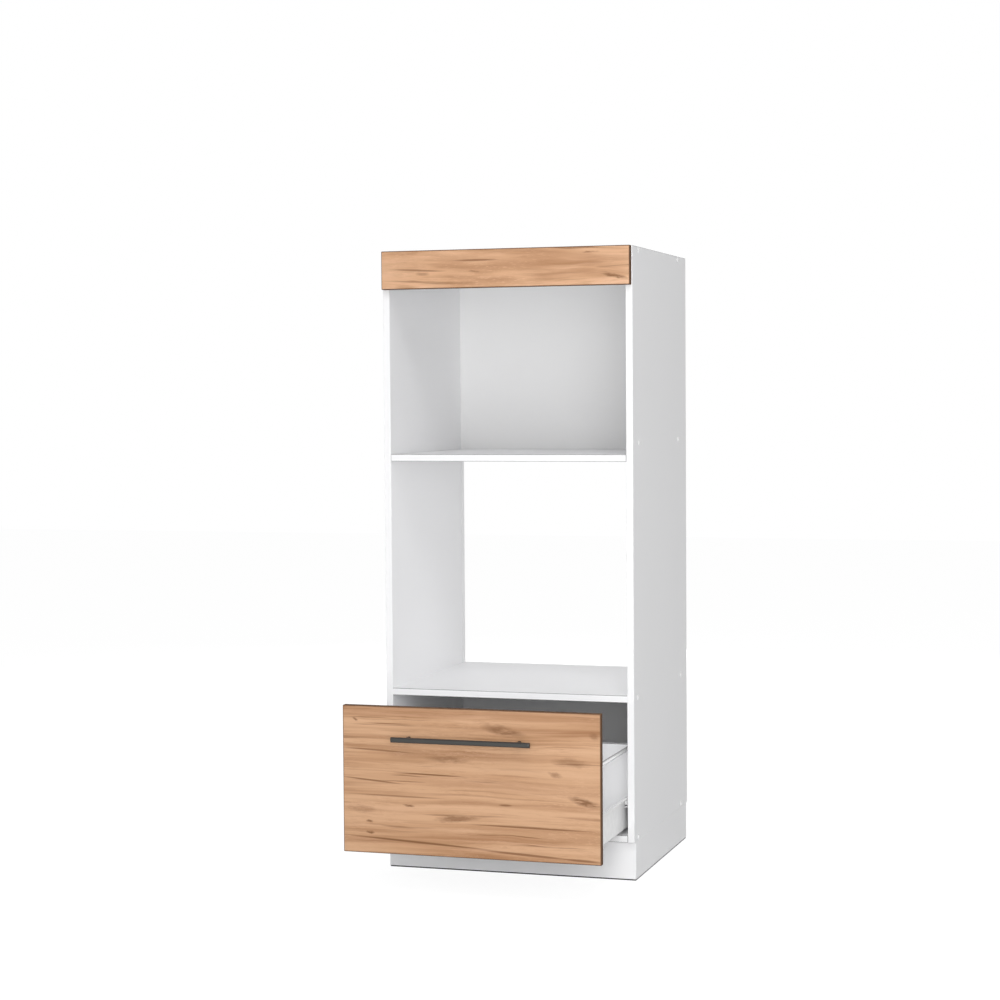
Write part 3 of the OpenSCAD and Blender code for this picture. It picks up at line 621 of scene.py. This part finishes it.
def board(node, body, slot, face, edge, radius=BOARD_ROUND, ends=None, rear=None):
    """A board in the box of its CAD node, with rounded edges.

    On a decor board, ends is the finish of its four narrow faces and rear that of its back.
    """
    low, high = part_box(node)
    outline = [(low.x, low.y), (high.x, low.y), (high.x, high.y), (low.x, high.y)]
    work = extruded(outline, 2, low.z, high.z)
    round_edges(work, radius, ROUND_SEGMENTS)
    materials = [face, edge]
    if ends is not None:
        # New faces fill the gaps that rounding leaves in the mesh's lists, in an order that
        # changes from run to run. A copy has no gaps.
        rounded, work = work, work.copy()
        rounded.free()
        shade_decor_edges(work)
        materials += [ends, rear]
    return new_piece(node + "_board", finish_mesh(node, work, materials), node, body)


def side_board(node, finishes):
    """A side panel: its outline has the groove for the back panels in the inner face."""
    low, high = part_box(node)
    inner, outer = (low.x, high.x) if low.x > 0 else (high.x, low.x)
    floor = inner + math.copysign(GROOVE_DEPTH, outer)
    outline = [
        (outer, low.y),
        (outer, high.y),
        (inner, high.y),
        (inner, GROOVE_HIGH_Y),
        (floor, GROOVE_HIGH_Y),
        (floor, GROOVE_LOW_Y),
        (inner, GROOVE_LOW_Y),
        (inner, low.y),
    ]
    work = extruded(outline, 2, low.z, high.z)
    groove_low_x, groove_high_x = sorted((inner, floor))

    def outside_groove(edge):
        return not all(
            GROOVE_LOW_Y - NEAR < v.co.y < GROOVE_HIGH_Y + NEAR
            and groove_low_x - NEAR < v.co.x < groove_high_x + NEAR
            for v in edge.verts
        )

    round_edges(work, BOARD_ROUND, ROUND_SEGMENTS, outside_groove)
    # The rounding of the front and lower edges gets no painted dark outline shade
    for f in work.faces:
        middle = f.calc_center_median()
        if middle.y < low.y + 2 * BOARD_ROUND or middle.z < low.z + 2 * BOARD_ROUND:
            f.material_index = FACING
    mesh = finish_mesh(node, work, [finishes["white"], finishes["painted_edge_shade"]])
    return new_piece(node + "_board", mesh, node, "carcass")


def lower_shelf_board(finishes):
    """The lower shelf, grooved in its underside for the lower back panel."""
    low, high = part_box("lower_shelf")
    roof = low.z + GROOVE_DEPTH
    outline = [
        (low.y, low.z),
        (low.y, high.z),
        (high.y, high.z),
        (high.y, low.z),
        (GROOVE_HIGH_Y, low.z),
        (GROOVE_HIGH_Y, roof),
        (GROOVE_LOW_Y, roof),
        (GROOVE_LOW_Y, low.z),
    ]
    work = extruded(outline, 0, low.x, high.x)

    def long_outer_edge(edge):
        a, b = (v.co for v in edge.verts)
        at_rim = near(a.y, low.y) or near(a.y, high.y)
        return at_rim and near(a.y, b.y) and near(a.z, b.z)

    round_edges(work, BOARD_ROUND, ROUND_SEGMENTS, long_outer_edge)
    mesh = finish_mesh("lower_shelf", work, [finishes["white"], finishes["painted_edge_shade"]])
    return new_piece("lower_shelf_board", mesh, "lower_shelf", "carcass")


# ---------- handle ----------

HANDLE_BEVEL = 0.002
HANDLE_END_ROUND = 0.004
HANDLE_END_SEGMENTS = 4
# Place of the painted highlight stripe in the handle's list of materials, and how straight its
# faces look ahead
STRIPE = 1
STRIPE_LOOKS_ALONG = 0.9


def handle_piece(finishes):
    """The handle bar: bevelled long edges, rounded ends and a front stripe painted lighter as a
    highlight.
    """
    low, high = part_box("handle_bar")
    outline = [
        (high.y, low.z),
        (high.y, high.z),
        (low.y + HANDLE_BEVEL, high.z),
        (low.y, high.z - HANDLE_BEVEL),
        (low.y, low.z + HANDLE_BEVEL),
        (low.y + HANDLE_BEVEL, low.z),
    ]
    work = extruded(outline, 0, low.x, high.x)

    def upright_front_edge(edge):
        a, b = (v.co for v in edge.verts)
        return near(a.x, b.x) and near(a.y, b.y) and near(a.y, low.y)

    round_edges(work, HANDLE_END_ROUND, HANDLE_END_SEGMENTS, upright_front_edge)
    for f in work.faces:
        f.material_index = FACING
    for f in faces_along(work, FRONT, STRIPE_LOOKS_ALONG):
        f.material_index = STRIPE
    mesh = finish_mesh("handle", work, [finishes["anthracite"], finishes["anthracite_painted_highlight"]])
    return new_piece("handle_bar_piece", mesh, "handle_bar", "drawer")


# ---------- all pieces ----------

SHELF_BOARDS = ["top_panel", "upper_shelf", "bottom_panel"]
PLINTH_BOARDS = [
    "plinth_front",
    "plinth_rear",
    "plinth_side_left",
    "plinth_side_right",
    "plinth_stiffener",
]
DRAWER_BOARDS = ["drawer_base", "drawer_back"]


def make_pieces(finishes):
    for node in ("side_left", "side_right"):
        side_board(node, finishes)
    lower_shelf_board(finishes)
    # The shelves' and the drawer's boards get painted dark outline shade on their rounded edges,
    # the plinth boards plain white ones
    for node in SHELF_BOARDS:
        board(node, "carcass", "white_board", finishes["white"], finishes["painted_edge_shade"])
    for node in PLINTH_BOARDS:
        board(node, "carcass", "white_board", finishes["white"], finishes["white"])
    for node in DRAWER_BOARDS:
        board(node, "drawer", "white_board", finishes["white"], finishes["painted_edge_shade"])
    # A decor board's rounding and front rim get a painted dark outline, its narrow faces painted
    # shade, its back white
    decor = (finishes["oak_painted_rim_shade"], DECOR_ROUND, finishes["oak_painted_edge_shade"], finishes["white"])
    board("fascia", "carcass", "decor_board", finishes["oak_fascia"], *decor)
    board("drawer_front", "drawer", "decor_board", finishes["oak_front"], *decor)
    handle_piece(finishes)


# ---------- stage ----------

FLOOR_HALF = 12.0
FLOOR_CORNERS = [(-1, -1), (1, -1), (1, 1), (-1, 1)]
# The floor as light meets it
FLOOR_BOUNCE = (0.6, 0.6, 0.6, 1)
# The floor as the camera sees it: the share that glows white, and how strongly it glows. The
# rest is lit by the lamps and keeps the cabinet's shadow.
FLOOR_WHITE = 0.6
FLOOR_GLOW = 1.445


def make_floor():
    """A pale floor that keeps a faint shadow and shows as white to the camera."""
    work = bmesh.new()
    work.faces.new([work.verts.new((x * FLOOR_HALF, y * FLOOR_HALF, 0)) for x, y in FLOOR_CORNERS])
    material = bpy.data.materials.new("floor")
    g = Graph(material)
    matt = g.add("ShaderNodeBsdfDiffuse")
    matt.inputs["Color"].default_value = FLOOR_BOUNCE
    glow = g.add("ShaderNodeEmission")
    glow.inputs["Strength"].default_value = FLOOR_GLOW
    mixed = g.add("ShaderNodeMixShader")
    g.link(g.math("MULTIPLY", g.seen(), FLOOR_WHITE), mixed.inputs[0])
    g.link(matt.outputs[0], mixed.inputs[1])
    g.link(glow.outputs[0], mixed.inputs[2])
    out = g.add("ShaderNodeOutputMaterial")
    g.link(mixed.outputs[0], out.inputs[0])
    floor = bpy.data.objects.new("floor", finish_mesh("floor", work, [material]))
    scene.collection.objects.link(floor)


# The world's strength as light, and as the background that is seen
WORLD_LIGHT = 0.50
WORLD_SEEN = 1.0
WORLD_COLOUR = (1, 1, 1, 1)


def make_world():
    """Even soft light, and white to the camera, to gloss and through glass."""
    world = bpy.data.worlds.new("studio")
    scene.world = world
    g = Graph(world)
    strength = g.add("ShaderNodeMapRange")
    g.link(g.seen(), strength.inputs[0])
    strength.inputs[3].default_value = WORLD_LIGHT
    strength.inputs[4].default_value = WORLD_SEEN
    background = g.add("ShaderNodeBackground")
    background.inputs["Color"].default_value = WORLD_COLOUR
    g.link(strength.outputs[0], background.inputs["Strength"])
    out = g.add("ShaderNodeOutputWorld")
    g.link(background.outputs[0], out.inputs[0])


# Soft round lamps: name, place, diameter, power in watts, and whether gloss shows them
LAMPS = [
    ("high", (1.6, -4.0, 5.2), 2.0, 62.0, True),
    ("near", (1.1, -3.2, 1.3), 1.5, 24.5, True),
    ("low", (0.6, -3.0, 0.5), 1.5, 16.5, True),
    ("side", (1.6, -3.8, 0.5), 2.0, 15.5, True),
    ("back", (-0.6, 4.4, 0.8), 1.5, 30.0, False),
    ("back left", (-3.4, 2.8, 0.8), 1.5, 40.0, False),
]
LAMP_AIM = (0.0, 0.0, 0.8)


def make_lamps():
    """The lamps, which all look at LAMP_AIM and which the camera doesn't show."""
    for name, place, size, power, in_gloss in LAMPS:
        data = bpy.data.lights.new(name, "AREA")
        data.shape = "DISK"
        data.size = size
        data.energy = power
        lamp = bpy.data.objects.new(name, data)
        scene.collection.objects.link(lamp)
        lamp.location = place
        lamp.visible_camera = False
        lamp.visible_glossy = in_gloss
        lamp.rotation_mode = "QUATERNION"
        lamp.rotation_quaternion = (Vector(LAMP_AIM) - Vector(place)).to_track_quat("-Z", "Y")


# ---------- the scene ----------

scene.view_settings.view_transform = "Standard"
make_camera()
made_finishes = make_finishes()
dress_cad(made_finishes)
make_pieces(made_finishes)
make_floor()
make_world()
make_lamps()
